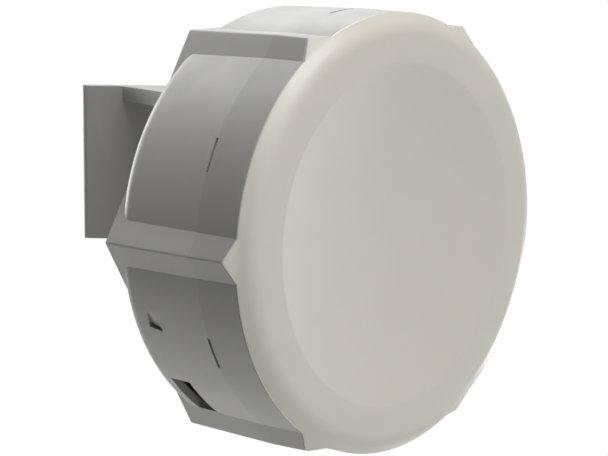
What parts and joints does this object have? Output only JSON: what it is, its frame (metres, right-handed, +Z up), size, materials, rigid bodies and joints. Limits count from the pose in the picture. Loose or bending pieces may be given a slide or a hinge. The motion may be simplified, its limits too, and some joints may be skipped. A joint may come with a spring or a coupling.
{
  "type": "outdoor wireless dish antenna unit",
  "caption": "Round outdoor wireless antenna unit: dished cream cover, grey drum-and-hexagon housing, tilting V-jaw pole bracket.",
  "frame": {"origin": "on the axis of a 38 mm pole seated in the V jaw, at the middle of the bracket's height", "axes": "+Z up along the pole, the antenna looks along -Y, +X is to the right seen from the front"},
  "size_m": [0.1478, 0.1175, 0.1406],
  "materials": {
    "housing_grey": "moulded, fine matt texture",
    "radome_cream": "moulded, satin",
    "bracket_grey": "glass-filled, moulded, matt",
    "seal_rubber": "soft silicone",
    "clear_guide": "clear polished",
    "pan_aluminium": "pressed sheet",
    "patch_brass": "tin-free sheet",
    "board_green": "solder mask",
    "post_nylon": "natural nylon",
    "steel_zinc": "zinc plated",
    "can_tin": "tinned sheet",
    "chip_black": "moulded epoxy",
    "pad_grey": "filled silicone",
    "sink_black": "black anodised",
    "jack_black": "moulded",
    "contact_gold": "gold plated",
    "lead_jacket": "smooth jacket",
    "led_lens": "diffuse lens",
    "button_black": "moulded"
  },
  "bodies": {
    "pole_bracket": {"pole_yoke": "bracket_grey", "pivot_bolt": "steel_zinc", "pivot_washers": "steel_zinc", "pivot_nut": "steel_zinc"},
    "antenna_unit": {"tilt_knuckle": "bracket_grey", "knuckle_screws": "steel_zinc", "ground_screw": "steel_zinc", "ground_insert": "contact_gold", "rear_housing": "housing_grey", "front_radome": "radome_cream", "radome_gasket": "seal_rubber", "light_guide": "clear_guide", "reflector_pan": "pan_aluminium", "feed_board": "board_green", "patch_plate_1": "patch_brass", "patch_plate_2": "patch_brass", "patch_plate_3": "patch_brass", "patch_plate_4": "patch_brass", "patch_posts": "post_nylon", "reflector_screws": "steel_zinc", "main_board": "board_green", "board_screws": "steel_zinc", "shield_can": "can_tin", "processor": "chip_black", "thermal_pad": "pad_grey", "heat_sink": "sink_black", "memory_chip": "chip_black", "line_transformer": "chip_black", "status_leds": "led_lens", "ethernet_jack": "jack_black", "jack_contacts": "contact_gold", "reset_switch": "jack_black", "antenna_lead_left": "lead_jacket", "antenna_lead_right": "lead_jacket", "lead_plug_left": "contact_gold", "lead_plug_right": "contact_gold"},
    "door": {"cable_door": "housing_grey"},
    "reset": {"reset_plunger": "button_black"}
  },
  "joints": [
    {"name": "tilt_pivot", "type": "hinge", "parent": "pole_bracket", "child": "antenna_unit", "pos_m": [0, -0.04281, 0], "axis": [1, 0, 0], "range_deg": [-30, 30]},
    {"name": "door_slide", "type": "slide", "parent": "antenna_unit", "child": "door", "axis": [0, 1, 0], "range_m": [0, 0.022]},
    {"name": "reset_press", "type": "slide", "parent": "antenna_unit", "child": "reset", "axis": [0, 0, 1], "range_m": [0, 0.0004], "stiffness_N_per_m": 2000}
  ]
}
